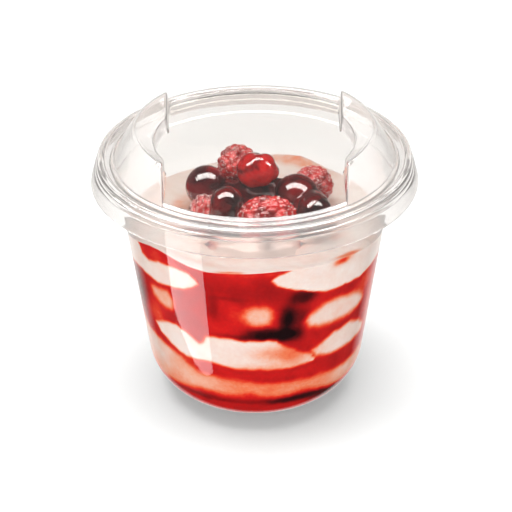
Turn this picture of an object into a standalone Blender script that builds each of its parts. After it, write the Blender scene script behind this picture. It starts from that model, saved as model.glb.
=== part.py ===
"""Clear plastic dessert cup with a stacking lid, filled with cream, fruit sauce and a heap of berries.

Metres, +Z up. The origin is the centre of the flat base, where the cup stands.
The side shown in the photograph faces -Y.
"""

import math

import bmesh
import bpy
from mathutils import Matrix

MM = 0.001

# Driving dimensions, in millimetres
RING_HEIGHT = 93.9          # base to the top of the lid's outer ring
CORNER_RADIUS = 20.4        # big round corner between base and wall
BASE_RADIUS = 19.4          # flat part of the base
WALL_TAPER = math.radians(8.0)
CUP_THICKNESS = 0.6
LID_THICKNESS = 0.5
SHOULDER_DROP = 8.2         # ring plane down to the step below the cup's mouth
MOUTH_RADIUS = 50.5
FLANGE_RADIUS = 55.0
LID_RADIUS = 56.0           # lid's ring, at the ring plane
SKIRT_RADIUS = 58.45        # hem of the flared skirt
SKIRT_DROP = 9.1
PLATE_RISE = 1.0            # clear plate in the middle of the lid
CRESCENT_FOOT = 49.8
CREST_RADIUS = 42.2
CREST_RISE = 11.4
LIP_RADIUS = 36.8
LIP_RISE = 7.6
CHANNEL_HALF = 31.7         # half the width between the two crescents, at the crest
CRESCENT_DRAFT = math.radians(3.0)

GAP = 0.35                  # between neighbouring solids
SEGMENTS = 56               # round the cup and the lid
LAYER_SEGMENTS = 48
CORNER_STEPS = 5
CORNER_SAG = 0.25           # how far the corner's flat steps reach inside its true arc

# Height of each boundary between the layers: its level in the middle of the food, and
# its lobes at the wall as (azimuth in degrees from the front, half width, rise).
BOTTOM_SAUCE_TOP = (13.0, [(0, 34, 1.6), (-60, 20, -0.6), (170, 60, -2.0)])
LOWER_CREAM_TOP = (24.0, [(-48, 26, 5.0), (44, 26, -5.0), (150, 30, 2.5), (-130, 24, -3.0)])
LOWER_SAUCE_TOP = (29.8, [(-62, 18, 3.6), (40, 22, 0.8), (160, 34, 3.5), (-125, 26, -2.0)])
MIDDLE_CREAM_TOP = (39.0, [(-5, 20, 2.6), (-45, 10, 2.4), (35, 12, -3.6), (150, 26, 5.0), (-120, 30, -3.0)])
UPPER_SAUCE_TOP = (57.0, [(-8, 18, 13.0), (-72, 24, 1.0), (78, 26, -3.2), (150, 24, 8.0), (-140, 22, 6.0)])
FOOD_TOP = (69.0, [(0, 40, 2.6), (-48, 14, 2.0), (-84, 18, -2.6), (80, 22, -2.6), (180, 40, 0.4)])
THINNEST_LAYER = 1.4
DISH_LEVEL = 68.6           # hollow in the cream under the berries
DISH_SHARE = 0.70           # of the cup's inner radius

# Mound of dark fruit sauce that the berries lie in
MOUND_CENTRE = (1.0, -2.5)
MOUND_RADIUS = 26.5
MOUND_WOBBLE = 1.0
MOUND_EDGE = 0.9
MOUND_RISE = 9.4
MOUND_SEGMENTS = 36

# Berries: centre, radius and half length of the stretch along X, in millimetres
RASPBERRIES = {
    "raspberry_back": ((-6.1, 14.8, 81.5), 7.0, 0.0),
    "raspberry_top": ((1.6, 3.3, 85.2), 6.9, 0.0),
    "raspberry_left": ((-19.6, -7.1, 75.8), 5.7, 0.0),
    "raspberry_right": ((22.4, 9.5, 76.8), 6.8, 0.0),
    "raspberry_front": ((4.5, -17.0, 76.6), 6.2, 3.2),
}
CHERRIES = {
    "cherry_left": ((-17.2, 5.9, 78.0), 7.3),
    "cherry_front": ((-9.9, -12.5, 80.2), 5.8),
    "cherry_right": ((15.0, -2.8, 78.6), 7.2),
    "cherry_side": ((21.5, -14.6, 77.8), 6.0),
    "currant_front": ((4.5, -27.5, 74.6), 3.4),
}
DRUPELET_DEPTH = 0.75
BERRY_SHRINK = 0.1          # keeps faceted berries clear of each other
BERRY_CLEARANCE = 0.35      # between a berry and the sauce it lies in

WALL_START = CORNER_RADIUS * (1 - math.sin(WALL_TAPER))
WALL_START_RADIUS = BASE_RADIUS + CORNER_RADIUS * math.cos(WALL_TAPER)


def clear_scene():
    for thing in list(bpy.data.objects):
        bpy.data.objects.remove(thing, do_unlink=True)


def material(name, colour, roughness, alpha=1.0, transmission=0.0):
    made = bpy.data.materials.new(name)
    made.use_nodes = True
    shader = made.node_tree.nodes["Principled BSDF"]
    shader.inputs["Base Color"].default_value = (*colour, 1.0)
    shader.inputs["Roughness"].default_value = roughness
    shader.inputs["Metallic"].default_value = 0.0
    shader.inputs["Alpha"].default_value = alpha
    shader.inputs["Transmission Weight"].default_value = transmission
    return made


def add_object(name, mesh_builder, finish=None, smooth=True):
    """Turn a bmesh in millimetres into a named object in metres."""
    bmesh.ops.scale(mesh_builder, vec=(MM, MM, MM), verts=mesh_builder.verts)
    bmesh.ops.recalc_face_normals(mesh_builder, faces=mesh_builder.faces)
    mesh = bpy.data.meshes.new(name)
    mesh_builder.to_mesh(mesh)
    mesh_builder.free()
    if smooth:
        mesh.shade_smooth()
        mesh.set_sharp_from_angle(angle=math.radians(35))
    if finish:
        mesh.materials.append(finish)
    made = bpy.data.objects.new(name, mesh)
    bpy.context.scene.collection.objects.link(made)
    return made


def lathe(profile, segments=SEGMENTS, closed=False):
    """Spin (radius, height) points about Z. Points on the axis close the body."""
    builder = bmesh.new()
    points = [builder.verts.new((radius, 0.0, height)) for radius, height in profile]
    pairs = list(zip(points, points[1:]))
    if closed:
        pairs.append((points[-1], points[0]))
    edges = [builder.edges.new(pair) for pair in pairs]
    bmesh.ops.spin(
        builder,
        geom=points + edges,
        axis=(0, 0, 1),
        cent=(0, 0, 0),
        angle=2 * math.pi,
        steps=segments,
        use_merge=True,
    )
    bmesh.ops.remove_doubles(builder, verts=builder.verts, dist=1e-4)
    return builder


def helper(name, mesh_builder):
    """An object that only shapes another one."""
    made = add_object(name, mesh_builder, smooth=False)
    made.hide_render = True
    made.display_type = "WIRE"
    return made


def apply_boolean(target, tool, operation):
    """Apply one Boolean to the target and remove the tool."""
    step = target.modifiers.new(operation.lower(), "BOOLEAN")
    step.operation = operation
    step.object = tool
    step.solver = "EXACT"
    graph = bpy.context.evaluated_depsgraph_get()
    shaped = bpy.data.meshes.new_from_object(target.evaluated_get(graph))
    target.modifiers.clear()
    target.data = shaped
    bpy.data.objects.remove(tool, do_unlink=True)


def corner_arc(thickness):
    """Points of the round corner, from the base to the start of the wall."""
    radius = CORNER_RADIUS - thickness
    sweep = math.pi / 2 - WALL_TAPER
    points = []
    for step in range(CORNER_STEPS + 1):
        turn = sweep * step / CORNER_STEPS
        points.append((BASE_RADIUS + radius * math.sin(turn), CORNER_RADIUS - radius * math.cos(turn)))
    return points


def wall_radius(height):
    """Outer radius of the cup at a height above the base."""
    if height >= WALL_START:
        return WALL_START_RADIUS + (height - WALL_START) * math.tan(WALL_TAPER)
    below = CORNER_RADIUS - height
    return BASE_RADIUS + math.sqrt(max(CORNER_RADIUS**2 - below**2, 0.0))


def make_cup(finish):
    shoulder = RING_HEIGHT - SHOULDER_DROP
    step_top = RING_HEIGHT - 3.7
    flange_top = RING_HEIGHT - 1.2
    wall = CUP_THICKNESS
    outer = [(0.0, 0.0)] + corner_arc(0.0) + [
        (wall_radius(shoulder - 0.3), shoulder - 0.3),
        (MOUTH_RADIUS - 0.5, shoulder + 0.3),
        (MOUTH_RADIUS, step_top),
        (MOUTH_RADIUS + 0.5, step_top + 0.4),
        (MOUTH_RADIUS + 0.7, flange_top - 0.9),
        (MOUTH_RADIUS + 1.1, flange_top - wall),
        (FLANGE_RADIUS - 0.7, flange_top - wall),
        (FLANGE_RADIUS - 0.5, flange_top - 1.8),
        (FLANGE_RADIUS, flange_top - 1.7),
    ]
    inner = [
        (FLANGE_RADIUS - 0.1, flange_top - 0.3),
        (FLANGE_RADIUS - 0.4, flange_top),
        (MOUTH_RADIUS + 0.7, flange_top),
        (MOUTH_RADIUS + 0.1, flange_top - 0.6),
        (MOUTH_RADIUS - wall, step_top + 0.5),
        (MOUTH_RADIUS - 0.5 - wall, shoulder + 0.6),
        (wall_radius(shoulder) - wall, shoulder),
    ] + corner_arc(wall)[::-1] + [(0.0, wall)]
    return add_object("cup", lathe(outer + inner), finish)


def lid_profile():
    """Top side of the lid from its middle to the hem, relative to the ring plane."""
    return [
        (0.0, PLATE_RISE),
        (CRESCENT_FOOT - 1.4, PLATE_RISE),
        (CRESCENT_FOOT - 0.4, 0.2),
        (CRESCENT_FOOT + 0.5, 0.2),
        (CRESCENT_FOOT + 1.2, -0.4),
        (CRESCENT_FOOT + 3.0, -0.4),
        (CRESCENT_FOOT + 3.6, 0.3),
        (CRESCENT_FOOT + 4.5, 0.6),
        (CRESCENT_FOOT + 5.5, 0.3),
        (LID_RADIUS, -0.1),
        (LID_RADIUS + 0.2, -1.7),
        (LID_RADIUS + 0.6, -2.1),
        (LID_RADIUS + 0.75, -3.3),
        (LID_RADIUS + 1.1, -3.7),
        (LID_RADIUS + 1.5, -5.3),
        (LID_RADIUS + 2.05, -7.2),
        (SKIRT_RADIUS, -SKIRT_DROP + 0.3),
        (SKIRT_RADIUS, -SKIRT_DROP),
    ]


def lid_hollow_profile():
    """Underside of the lid, from its middle to below the hem."""
    skin = LID_THICKNESS
    return [
        (0.0, PLATE_RISE - skin),
        (CRESCENT_FOOT - 1.6, PLATE_RISE - skin),
        (CRESCENT_FOOT - 0.6, 0.2 - skin),
        (CRESCENT_FOOT + 0.3, 0.2 - skin),
        (CRESCENT_FOOT + 1.0, -0.4 - skin),
        (CRESCENT_FOOT + 3.2, -0.4 - skin),
        (CRESCENT_FOOT + 4.5, 0.6 - skin),
        (CRESCENT_FOOT + 5.4, 0.2 - skin),
        (LID_RADIUS - 0.3, -1.9),
        (LID_RADIUS + 0.15, -2.4),
        (LID_RADIUS + 0.65, -4.0),
        (LID_RADIUS + 1.6, -7.2),
        (SKIRT_RADIUS - skin, -SKIRT_DROP),
        (SKIRT_RADIUS - skin, -SKIRT_DROP - 1.0),
    ]


def crescent_profile(skin):
    """Cross-section of a raised crescent, drawn in by the skin's thickness."""
    floor = PLATE_RISE - 0.8 - skin
    return [
        (LIP_RADIUS - 1.5 + skin, floor),
        (LIP_RADIUS - 1.3 + skin, LIP_RISE - 1.2 - skin),
        (LIP_RADIUS - 0.8 + skin, LIP_RISE - 0.3 - skin),
        (LIP_RADIUS + 0.2 + skin, LIP_RISE + 0.1 - skin),
        (CREST_RADIUS - 1.3 + 0.3 * skin, CREST_RISE - 0.7 - skin),
        (CREST_RADIUS, CREST_RISE - skin),
        (CREST_RADIUS + 1.2 - 0.5 * skin, CREST_RISE - 0.9 - skin),
        (CRESCENT_FOOT - 3.2 - skin, CREST_RISE * 0.5 - 0.4 * skin),
        (CRESCENT_FOOT - skin, 0.0 - skin),
        (CRESCENT_FOOT - 0.3 - skin, floor - 0.3),
    ]


def raise_profile(profile):
    return [(radius, height + RING_HEIGHT) for radius, height in profile]


def add_crescents(body, skin):
    """Join the two crescents, cut off by drafted planes along the channel, to a body."""
    for side in (-1, 1):
        ridge = helper("crescent_ring", lathe(raise_profile(crescent_profile(skin)), closed=True))
        reach = 60.0
        block = bmesh.new()
        bmesh.ops.create_cube(block, size=1.0)
        bmesh.ops.scale(block, vec=(reach, 2 * reach, reach), verts=block.verts)
        bmesh.ops.translate(block, vec=(reach / 2, 0, 0), verts=block.verts)
        tilt = Matrix.Rotation(CRESCENT_DRAFT, 3, "Y")
        bmesh.ops.rotate(block, cent=(0, 0, 0), matrix=tilt, verts=block.verts)
        offset = (CHANNEL_HALF + skin, 0, RING_HEIGHT + CREST_RISE)
        bmesh.ops.translate(block, vec=offset, verts=block.verts)
        if side < 0:
            bmesh.ops.rotate(block, cent=(0, 0, 0), matrix=Matrix.Rotation(math.pi, 3, "Z"), verts=block.verts)
        apply_boolean(ridge, helper("channel_block", block), "INTERSECT")
        apply_boolean(body, ridge, "UNION")


def make_lid(finish):
    outside = raise_profile(lid_profile()) + [(0.0, RING_HEIGHT - SKIRT_DROP)]
    lid = add_object("lid", lathe(outside), finish)
    add_crescents(lid, 0.0)
    inside = raise_profile(lid_hollow_profile()) + [(0.0, RING_HEIGHT - SKIRT_DROP - 1.0)]
    hollow = helper("lid_hollow", lathe(inside))
    add_crescents(hollow, LID_THICKNESS)
    apply_boolean(lid, hollow, "DIFFERENCE")
    lid.data.shade_smooth()
    lid.data.set_sharp_from_angle(angle=math.radians(35))
    return lid


def boundary(form, azimuth, share):
    """Height of a boundary between layers at an azimuth and a share of the radius."""
    level, lobes = form
    height = level
    for centre, width, rise in lobes:
        turn = (azimuth - centre + 180.0) % 360.0 - 180.0
        height += share**2 * rise * math.exp(-((turn / width) ** 2))
    return height


LAYER_BOUNDARIES = [
    BOTTOM_SAUCE_TOP,
    LOWER_CREAM_TOP,
    LOWER_SAUCE_TOP,
    MIDDLE_CREAM_TOP,
    UPPER_SAUCE_TOP,
    FOOD_TOP,
]


def layer_height(index, azimuth, share):
    """Top of layer number index. The layer below the first one is the cup's floor."""
    if index < 0:
        return CUP_THICKNESS
    height = boundary(LAYER_BOUNDARIES[index], azimuth, share)
    is_top = index == len(LAYER_BOUNDARIES) - 1
    if is_top and share <= DISH_SHARE:
        height = DISH_LEVEL
    lowest = layer_height(index - 1, azimuth, share) + THINNEST_LAYER
    return max(height, lowest)


def food_radius(height):
    """Radius of the food at a height, just inside the cup's wall."""
    wall = (CUP_THICKNESS + GAP + CORNER_SAG) / math.cos(WALL_TAPER)
    if height >= WALL_START:
        return wall_radius(height) - wall
    food_corner = CORNER_RADIUS - CUP_THICKNESS - GAP - CORNER_SAG
    below = CORNER_RADIUS - height
    return BASE_RADIUS + math.sqrt(max(food_corner**2 - below**2, 0.0))


def make_layer(name, index, finish, side_steps):
    """One layer of the food, running right through it."""
    is_top = index == len(LAYER_BOUNDARIES) - 1
    floor_gap = GAP if index == 0 else GAP / 2
    head_gap = 0.0 if is_top else GAP / 2
    low_shares = (0.0, 0.5)
    high_shares = (0.0, DISH_SHARE) if is_top else (0.0, 0.5)
    builder = bmesh.new()
    rings = []

    def ring(share, level_of):
        if share == 0.0:
            rings.append([builder.verts.new((0, 0, level_of(0.0, 0.0)))])
            return
        points = []
        for step in range(LAYER_SEGMENTS):
            azimuth = 360.0 * step / LAYER_SEGMENTS
            height = level_of(azimuth, share)
            radius = share * food_radius(height)
            turn = math.radians(azimuth)
            points.append(builder.verts.new((radius * math.sin(turn), -radius * math.cos(turn), height)))
        rings.append(points)

    def low(azimuth, share):
        return layer_height(index - 1, azimuth, share) + floor_gap

    def high(azimuth, share):
        return layer_height(index, azimuth, share) - head_gap

    for share in low_shares:
        ring(share, low)
    for step in range(side_steps + 1):
        part = step / side_steps
        ring(1.0, lambda azimuth, share: low(azimuth, share) * (1 - part) + high(azimuth, share) * part)
    for share in reversed(high_shares):
        ring(share, high)

    for below, above in zip(rings, rings[1:]):
        for step in range(LAYER_SEGMENTS):
            after = (step + 1) % LAYER_SEGMENTS
            if len(below) == 1:
                builder.faces.new((below[0], above[step], above[after]))
            elif len(above) == 1:
                builder.faces.new((below[step], below[after], above[0]))
            else:
                builder.faces.new((below[step], below[after], above[after], above[step]))
    bmesh.ops.triangulate(builder, faces=builder.faces)
    return add_object(name, builder, finish)


def berry_ball(radius, half_length, rings_count, segments):
    """A smooth ball, drawn out along X where it is long."""
    builder = bmesh.new()
    bmesh.ops.create_uvsphere(builder, u_segments=segments, v_segments=rings_count, radius=radius)
    stretch = (radius + half_length) / radius
    bmesh.ops.scale(builder, vec=(stretch, 1, 1), verts=builder.verts)
    return builder


def raspberry_ball(radius, half_length, tilt):
    """A ball of raised drupelets: the ball's first points are their tops."""
    builder = bmesh.new()
    bmesh.ops.create_icosphere(builder, subdivisions=2, radius=radius)
    tops = {tuple(round(value, 3) for value in point.co) for point in builder.verts}
    bmesh.ops.subdivide_edges(builder, edges=builder.edges, cuts=1, use_grid_fill=True)
    for point in builder.verts:
        key = tuple(round(value, 3) for value in point.co)
        depth = 0.0 if key in tops else DRUPELET_DEPTH
        point.co = point.co.normalized() * (radius - depth)
    stretch = (radius + half_length) / radius
    bmesh.ops.rotate(builder, cent=(0, 0, 0), matrix=Matrix.Rotation(tilt, 3, "X"), verts=builder.verts)
    bmesh.ops.scale(builder, vec=(stretch, 1, 1), verts=builder.verts)
    return builder


def make_berries(raspberry_finish, cherry_finish):
    for number, (name, (centre, radius, half_length)) in enumerate(RASPBERRIES.items()):
        builder = raspberry_ball(radius - BERRY_SHRINK, half_length, 0.7 * number)
        bmesh.ops.translate(builder, vec=centre, verts=builder.verts)
        add_object(name, builder, raspberry_finish, smooth=False)
    for name, (centre, radius) in CHERRIES.items():
        builder = berry_ball(radius - BERRY_SHRINK, 0.0, 8, 14)
        bmesh.ops.translate(builder, vec=centre, verts=builder.verts)
        add_object(name, builder, cherry_finish)


def make_mound(finish):
    """Low dome of sauce with an uneven outline and a pocket for each berry."""
    floor = DISH_LEVEL + GAP
    builder = bmesh.new()
    rings = [[builder.verts.new((0, 0, floor))]]
    for share, top in ((1.0, False), (1.0, True), (0.8, True), (0.55, True), (0.28, True)):
        points = []
        for step in range(MOUND_SEGMENTS):
            turn = 2 * math.pi * step / MOUND_SEGMENTS
            edge = MOUND_RADIUS + MOUND_WOBBLE * (math.sin(3 * turn + 0.6) + 0.6 * math.sin(5 * turn + 2.0))
            radius = share * edge
            height = floor + MOUND_EDGE + MOUND_RISE * (1 - share**2) if top else floor
            points.append(builder.verts.new((radius * math.cos(turn), radius * math.sin(turn), height)))
        rings.append(points)
    rings.append([builder.verts.new((0, 0, floor + MOUND_EDGE + MOUND_RISE))])
    bmesh.ops.translate(builder, vec=(*MOUND_CENTRE, 0), verts=builder.verts)
    for below, above in zip(rings, rings[1:]):
        for step in range(MOUND_SEGMENTS):
            after = (step + 1) % MOUND_SEGMENTS
            if len(below) == 1:
                builder.faces.new((below[0], above[step], above[after]))
            elif len(above) == 1:
                builder.faces.new((below[step], below[after], above[0]))
            else:
                builder.faces.new((below[step], below[after], above[after], above[step]))
    bmesh.ops.triangulate(builder, faces=builder.faces)
    mound = add_object("sauce_mound", builder, finish)
    berries = [(centre, radius, half) for centre, radius, half in RASPBERRIES.values()]
    berries += [(centre, radius, 0.0) for centre, radius in CHERRIES.values()]
    for centre, radius, half_length in berries:
        pocket = berry_ball(radius + BERRY_CLEARANCE, half_length, 8, 14)
        bmesh.ops.translate(pocket, vec=centre, verts=pocket.verts)
        apply_boolean(mound, helper("berry_pocket", pocket), "DIFFERENCE")
    return mound


def build():
    clear_scene()
    clear_plastic = material("clear_plastic", (0.93, 0.95, 0.95), 0.08, alpha=0.3, transmission=1.0)
    cream = material("cream", (0.90, 0.82, 0.77), 0.45)
    sauce = material("fruit_sauce", (0.55, 0.02, 0.02), 0.2)
    dark_sauce = material("dark_sauce", (0.13, 0.01, 0.015), 0.12)
    raspberry = material("raspberry", (0.60, 0.06, 0.06), 0.5)
    cherry = material("cherry", (0.11, 0.01, 0.015), 0.1)
    make_cup(clear_plastic)
    make_lid(clear_plastic)
    make_layer("sauce_bottom", 0, sauce, 4)
    make_layer("cream_lower", 1, cream, 2)
    make_layer("sauce_lower", 2, sauce, 1)
    make_layer("cream_middle", 3, cream, 1)
    make_layer("sauce_upper", 4, sauce, 1)
    make_layer("cream_top", 5, cream, 1)
    make_mound(dark_sauce)
    make_berries(raspberry, cherry)


build()
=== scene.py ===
"""A clear plastic dessert cup with its lid: marbled cream and fruit sauce under a heap of berries.

Lengths in capital names are in millimetres, and become metres in the meshes. Lamps are given in metres.
Azimuths are in degrees round the cup, 0 at the front (-Y) and growing towards +X.
"""

import math

import bmesh
import bpy
import numpy as np
from mathutils import Matrix, Vector, noise


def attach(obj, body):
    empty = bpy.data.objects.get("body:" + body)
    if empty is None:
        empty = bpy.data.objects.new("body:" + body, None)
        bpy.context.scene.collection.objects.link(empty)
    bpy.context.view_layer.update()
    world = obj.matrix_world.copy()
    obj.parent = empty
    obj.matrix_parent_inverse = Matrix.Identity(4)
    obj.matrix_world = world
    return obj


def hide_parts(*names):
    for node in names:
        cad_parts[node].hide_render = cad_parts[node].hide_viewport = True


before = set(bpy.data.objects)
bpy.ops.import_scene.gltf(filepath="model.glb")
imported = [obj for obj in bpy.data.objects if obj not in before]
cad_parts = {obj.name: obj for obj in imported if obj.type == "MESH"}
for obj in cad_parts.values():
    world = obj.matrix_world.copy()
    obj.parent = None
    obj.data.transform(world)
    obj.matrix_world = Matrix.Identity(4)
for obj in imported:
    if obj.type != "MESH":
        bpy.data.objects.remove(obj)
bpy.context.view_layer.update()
MM = 0.001

# Sizes shared with the CAD model

RING_HEIGHT = 93.9
CORNER_RADIUS = 20.4
BASE_RADIUS = 19.4
WALL_TAPER = math.radians(8.0)
CUP_THICKNESS = 0.6
LID_THICKNESS = 0.5
PLATE_RISE = 1.0
GROOVE_RISE = 0.2
CRESCENT_FOOT = 49.7
CREST_RADIUS = 42.2
CREST_RISE = 11.4
LIP_RADIUS = 36.8
LIP_RISE = 7.6
CHANNEL_HALF = 31.7
CRESCENT_DRAFT = math.radians(3.0)
WALL_START = CORNER_RADIUS * (1.0 - math.sin(WALL_TAPER))
WALL_START_RADIUS = BASE_RADIUS + CORNER_RADIUS * math.cos(WALL_TAPER)
DISH_LEVEL = 68.6
MOUND_CENTRE = (1.0, -2.5)
MOUND_RADIUS = 26.5
MOUND_RISE = 9.4
MOUND_EDGE = 0.9

# Camera as in the photograph

CAMERA_DISTANCE = 800.0
CAMERA_ELEVATION = math.radians(30.29)
CAMERA_ROLL = math.radians(-0.45)
CAMERA_AIM = (0.26, 0.0, 51.8)
CAMERA_LENS = 153.9


def set_camera():
    data = bpy.data.cameras.new("camera")
    data.lens = CAMERA_LENS
    data.sensor_width = 36.0
    data.dof.use_dof = False
    data.clip_start = 0.01
    camera = link_object("camera", data)
    aim = Vector(CAMERA_AIM) * MM
    back = Vector((0.0, -math.cos(CAMERA_ELEVATION), math.sin(CAMERA_ELEVATION)))
    turn = (-back).to_track_quat("-Z", "Y").to_matrix().to_4x4()
    place = Matrix.Translation(aim + back * CAMERA_DISTANCE * MM)
    camera.matrix_world = place @ turn @ Matrix.Rotation(CAMERA_ROLL, 4, "Z")
    bpy.context.scene.camera = camera


# Small helpers for colours, nodes and meshes


def srgb(red, green, blue):
    """A screen colour from 0 to 255 as the linear colour that shaders take."""
    values = []
    for value in (red, green, blue):
        value = value / 255.0
        values.append(value / 12.92 if value <= 0.04045 else ((value + 0.055) / 1.055) ** 2.4)
    return (*values, 1.0)


def add_node(tree, kind, inputs=None, **settings):
    """A shader node with its settings, and its inputs as values or as other nodes' outputs."""
    node = tree.nodes.new("ShaderNode" + kind)
    for name, value in settings.items():
        setattr(node, name, value)
    for name, value in (inputs or {}).items():
        if isinstance(value, bpy.types.NodeSocket):
            tree.links.new(value, node.inputs[name])
        else:
            node.inputs[name].default_value = value
    return node


def new_material(name):
    material = bpy.data.materials.new(name)
    material.use_nodes = True
    material.node_tree.nodes.clear()
    return material, material.node_tree


def add_principled(tree, inputs):
    return add_node(tree, "BsdfPrincipled", inputs).outputs["BSDF"]


def set_surface(tree, surface):
    add_node(tree, "OutputMaterial", {"Surface": surface})


def add_noise(tree, scale, detail=3.0, roughness=0.5, distortion=0.0):
    """Noise in the object's own coordinates, scale in waves per metre."""
    return add_node(tree, "TexNoise", {
        "Vector": add_node(tree, "TexCoord").outputs["Object"],
        "Scale": scale,
        "Detail": detail,
        "Roughness": roughness,
        "Distortion": distortion,
    }).outputs["Fac"]


def add_range(tree, source, from_low, from_high, to_low, to_high):
    return add_node(tree, "MapRange", {
        "Value": source,
        "From Min": from_low,
        "From Max": from_high,
        "To Min": to_low,
        "To Max": to_high,
    }).outputs["Result"]


def add_maths(tree, operation, first, second):
    return add_node(tree, "Math", {0: first, 1: second}, operation=operation).outputs["Value"]


def add_ramp(tree, source, stops):
    """A colour ramp with stops of (place, linear colour)."""
    ramp = add_node(tree, "ValToRGB", {"Fac": source})
    elements = ramp.color_ramp.elements
    while len(elements) < len(stops):
        elements.new(1.0)
    for element, (place, colour) in zip(elements, stops):
        element.position = place
        element.color = colour
    return ramp.outputs["Color"]


def mix_colours(tree, factor, first, second):
    mix = add_node(tree, "Mix", {"Factor": factor, "A": first, "B": second}, data_type="RGBA")
    return mix.outputs["Result"]


def mix_shaders(tree, factor, first, second):
    return add_node(tree, "MixShader", {"Fac": factor, 1: first, 2: second}).outputs["Shader"]


def add_uneven(tree, scale, low, high, detail=3.0):
    """Noise from low to high."""
    return add_range(tree, add_noise(tree, scale, detail), 0.3, 0.7, low, high)


def add_bump(tree, scale, distance, detail=2.0, roughness=0.5):
    height = add_noise(tree, scale, detail, roughness)
    return add_node(tree, "Bump", {"Height": height, "Distance": distance}).outputs["Normal"]


def read_values(tree, name):
    """The value that a mesh gives its points under a name."""
    return add_node(tree, "Attribute", attribute_name=name).outputs["Fac"]


def write_values(piece, name, values):
    """A value at each point of a mesh, for its material to read."""
    attribute = piece.data.attributes.new(name, "FLOAT", "POINT")
    attribute.data.foreach_set("value", values)


def link_object(name, data):
    linked = bpy.data.objects.new(name, data)
    bpy.context.scene.collection.objects.link(linked)
    return linked


def add_object(name, vertices, faces, material, smooth=True):
    """A piece from points in millimetres."""
    mesh = bpy.data.meshes.new(name)
    mesh.from_pydata((np.asarray(vertices, float) * MM).tolist(), [], faces)
    mesh.polygons.foreach_set("use_smooth", [smooth] * len(mesh.polygons))
    mesh.materials.append(material)
    mesh.validate()
    mesh.update()
    return link_object(name, mesh)


def face_outwards(piece):
    builder = bmesh.new()
    builder.from_mesh(piece.data)
    bmesh.ops.recalc_face_normals(builder, faces=builder.faces)
    builder.to_mesh(piece.data)
    builder.free()


def fillet(points, radius, steps=4, most=0.42):
    """Round the corners of an open outline."""
    points = [np.array(point, float) for point in points]
    rounded = [points[0]]
    for before, corner, after in zip(points, points[1:], points[2:]):
        back = before - corner
        on = after - corner
        back_length = np.linalg.norm(back)
        on_length = np.linalg.norm(on)
        back = back / back_length
        on = on / on_length
        angle = math.acos(max(-1.0, min(1.0, float(back @ on))))
        if math.pi - angle < math.radians(6.0):
            rounded.append(corner)
            continue
        cut = min(radius / math.tan(angle / 2), most * back_length, most * on_length)
        arc = cut * math.tan(angle / 2)
        middle = back + on
        centre = corner + middle / np.linalg.norm(middle) * arc / math.sin(angle / 2)
        start = corner + back * cut - centre
        sweep = math.pi - angle
        side = 1.0 if start[0] * on[1] - start[1] * on[0] > 0 else -1.0
        for step in range(steps + 1):
            turn = side * sweep * step / steps
            rounded.append(centre + np.array((
                start[0] * math.cos(turn) - start[1] * math.sin(turn),
                start[0] * math.sin(turn) + start[1] * math.cos(turn),
            )))
    rounded.append(points[-1])
    return [tuple(point) for point in rounded]


def around(radius, azimuth, height):
    """The point at an azimuth in radians, measured from the front."""
    return (radius * np.sin(azimuth), -radius * np.cos(azimuth), height)


def lathe(name, profile, segments, material):
    """Turn an outline that starts and ends on the axis, with exact normals."""
    vertices = []
    rings = []
    for radius, height in profile:
        if radius < 1e-6:
            rings.append([len(vertices)])
            vertices.append((0.0, 0.0, height))
        else:
            rings.append(list(range(len(vertices), len(vertices) + segments)))
            vertices += [around(radius, 2 * math.pi * step / segments, height) for step in range(segments)]
    faces = []
    for below, above in zip(rings, rings[1:]):
        for step in range(segments):
            after = (step + 1) % segments
            if len(below) == 1:
                faces.append((below[0], above[after], above[step]))
            elif len(above) == 1:
                faces.append((below[step], below[after], above[0]))
            else:
                faces.append((below[step], below[after], above[after], above[step]))
    piece = add_object(name, vertices, faces, material)
    face_outwards(piece)
    set_lathe_normals(piece, profile, rings)
    return piece


def set_lathe_normals(piece, profile, rings):
    """Normals from the outline itself, weighted by the length of its runs, up to a most."""
    outline = np.array(profile)
    runs = np.diff(outline, axis=0)
    lengths = np.linalg.norm(runs, axis=1)
    normals = np.zeros((len(piece.data.vertices), 3))
    own = np.array([vertex.normal for vertex in piece.data.vertices])
    places = np.array([vertex.co for vertex in piece.data.vertices])
    for number, ring in enumerate(rings):
        total = np.zeros(2)
        for run in (number - 1, number):
            if 0 <= run < len(runs):
                across = np.array((runs[run][1], -runs[run][0])) / max(lengths[run], 1e-9)
                total += across * min(lengths[run], RUN_MOST)
        total /= max(np.linalg.norm(total), 1e-9)
        if len(ring) == 1:
            normals[ring[0]] = (0.0, 0.0, math.copysign(1.0, own[ring[0]][2]))
            continue
        flat = places[ring][:, :2]
        flat = flat / np.linalg.norm(flat, axis=1)[:, None]
        normals[ring, 0] = flat[:, 0] * total[0]
        normals[ring, 1] = flat[:, 1] * total[0]
        normals[ring, 2] = total[1]
    wrong = (normals * own).sum(axis=1) < 0
    normals[wrong] *= -1
    piece.data.normals_split_custom_set_from_vertices(normals.tolist())


def ring_faces(rows, columns):
    """Faces between closed rows of points that are numbered row after row."""
    faces = []
    for start in range(0, (rows - 1) * columns, columns):
        for step in range(columns):
            after = (step + 1) % columns
            faces.append((start + step, start + after, start + columns + after, start + columns + step))
    return faces


# Materials

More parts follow.
